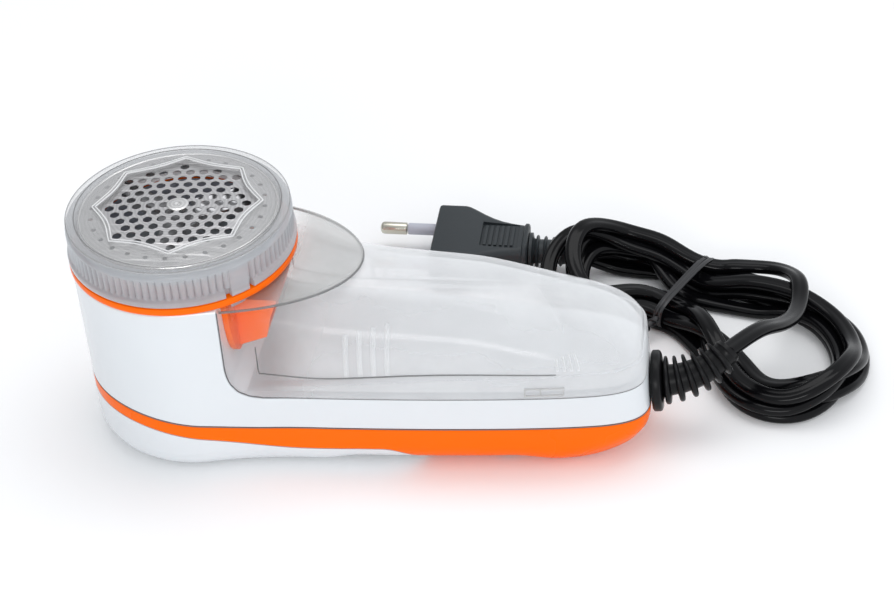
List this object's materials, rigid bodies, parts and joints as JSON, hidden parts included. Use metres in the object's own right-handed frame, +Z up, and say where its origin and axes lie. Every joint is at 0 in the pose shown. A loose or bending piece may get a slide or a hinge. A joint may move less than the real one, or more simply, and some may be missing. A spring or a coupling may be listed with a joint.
{
  "type": "fabric shaver",
  "caption": "Corded fabric shaver: a perforated cutting head on an upright motor, a clear lint container along the handle, and a mains lead coiled beside it with its plug.",
  "frame": {"origin": "on the surface that the shaver rests on, under the middle of the shaver without its cord and plug", "axes": "+X along the handle from the cutting head to the cord, +Y to the side that the coiled cord and plug lie on, +Z up through the foil"},
  "size_m": [0.2218, 0.1196, 0.0708],
  "materials": {
    "white_abs": "cool white, glossy, smooth",
    "orange_abs": "orange, glossy",
    "clear_plastic": "clear, slightly frosted",
    "foil_steel": "fine-brushed perforated foil",
    "zinc_steel": "zinc-plated",
    "blade_steel": "ground",
    "brass": "turned",
    "copper": "copper windings and segments",
    "magnet": "sintered, matte",
    "black_plastic": "black, matte",
    "board_green": "green board",
    "cord_pvc": "black PVC, glossy",
    "plug_pvc": "dark grey PVC, satin",
    "pin_sleeve": "pale plastic sleeve",
    "nickel": "nickel-plated brass"
  },
  "bodies": {
    "housing": {"main_housing": "white_abs", "base_shell": "orange_abs", "belly_cover": "white_abs", "housing_screw_1": "zinc_steel", "housing_screw_2": "zinc_steel", "housing_screw_3": "zinc_steel", "housing_screw_4": "zinc_steel", "head_collar": "orange_abs", "lint_chute": "orange_abs", "motor_can": "zinc_steel", "motor_end_cap": "black_plastic", "upper_bearing": "brass", "lower_bearing": "brass", "magnet_near": "magnet", "magnet_far": "magnet", "brush_near": "magnet", "brush_far": "magnet", "motor_bracket": "zinc_steel", "bracket_screw_1": "zinc_steel", "bracket_screw_2": "zinc_steel", "interlock_switch": "black_plastic", "switch_body": "black_plastic", "rectifier_board": "board_green", "smoothing_capacitor": "black_plastic", "dropper_resistor": "white_abs", "bridge_rectifier": "black_plastic", "cord_clamp": "black_plastic", "clamp_screw_1": "zinc_steel", "clamp_screw_2": "zinc_steel", "inner_lead": "cord_pvc", "strain_relief": "cord_pvc", "cord_lead": "cord_pvc", "cord_tail": "cord_pvc", "cord_hank": "cord_pvc", "cord_tie": "black_plastic", "plug_body": "plug_pvc", "plug_strain_relief": "plug_pvc", "pin_sleeve_1": "pin_sleeve", "pin_sleeve_2": "pin_sleeve", "plug_pin_1": "nickel", "plug_pin_2": "nickel"},
    "rotor": {"motor_shaft": "zinc_steel", "armature_core": "copper", "commutator": "copper", "drive_hub": "white_abs", "cutter_spring": "zinc_steel"},
    "cutter": {"blade_carrier": "black_plastic", "blade_1": "blade_steel", "blade_2": "blade_steel", "blade_3": "blade_steel"},
    "foil_ring": {"foil_ring": "clear_plastic", "foil_frame": "foil_steel", "foil": "foil_steel"},
    "guard": {"guard_cap": "clear_plastic"},
    "interlock_pin": {"interlock_pin": "white_abs"},
    "lint_container": {"lint_container": "clear_plastic"},
    "switch_slider": {"switch_slider": "orange_abs"}
  },
  "joints": [
    {"name": "motor_turn", "type": "hinge", "parent": "housing", "child": "rotor", "pos_m": [-0.0489, 0, 0.045], "axis": [0, 0, 1], "continuous": true},
    {"name": "cutter_float", "type": "slide", "parent": "rotor", "child": "cutter", "axis": [0, 0, 1], "range_m": [-0.0008, 0], "stiffness_N_per_m": 300, "springref_m": 0.002, "deforming": ["cutter_spring"]},
    {"name": "ring_twist", "type": "hinge", "parent": "housing", "child": "foil_ring", "pos_m": [-0.0489, 0, 0.0589], "axis": [0, 0, 1], "range_deg": [0, 25]},
    {"name": "guard_lift", "type": "slide", "parent": "foil_ring", "child": "guard", "axis": [0, 0, 1], "range_m": [0, 0.012]},
    {"name": "pin_rise", "type": "slide", "parent": "housing", "child": "interlock_pin", "axis": [0, 0, 1], "range_m": [0, 0.0012]},
    {"name": "container_slide", "type": "slide", "parent": "housing", "child": "lint_container", "axis": [1, 0, 0], "range_m": [0, 0.014]},
    {"name": "switch_slide", "type": "slide", "parent": "housing", "child": "switch_slider", "axis": [1, 0, 0], "range_m": [0, 0.0045]}
  ],
  "couplings": [
    {"joint": "pin_rise", "follows": "ring_twist", "m_per_rad": 0.00275}
  ]
}
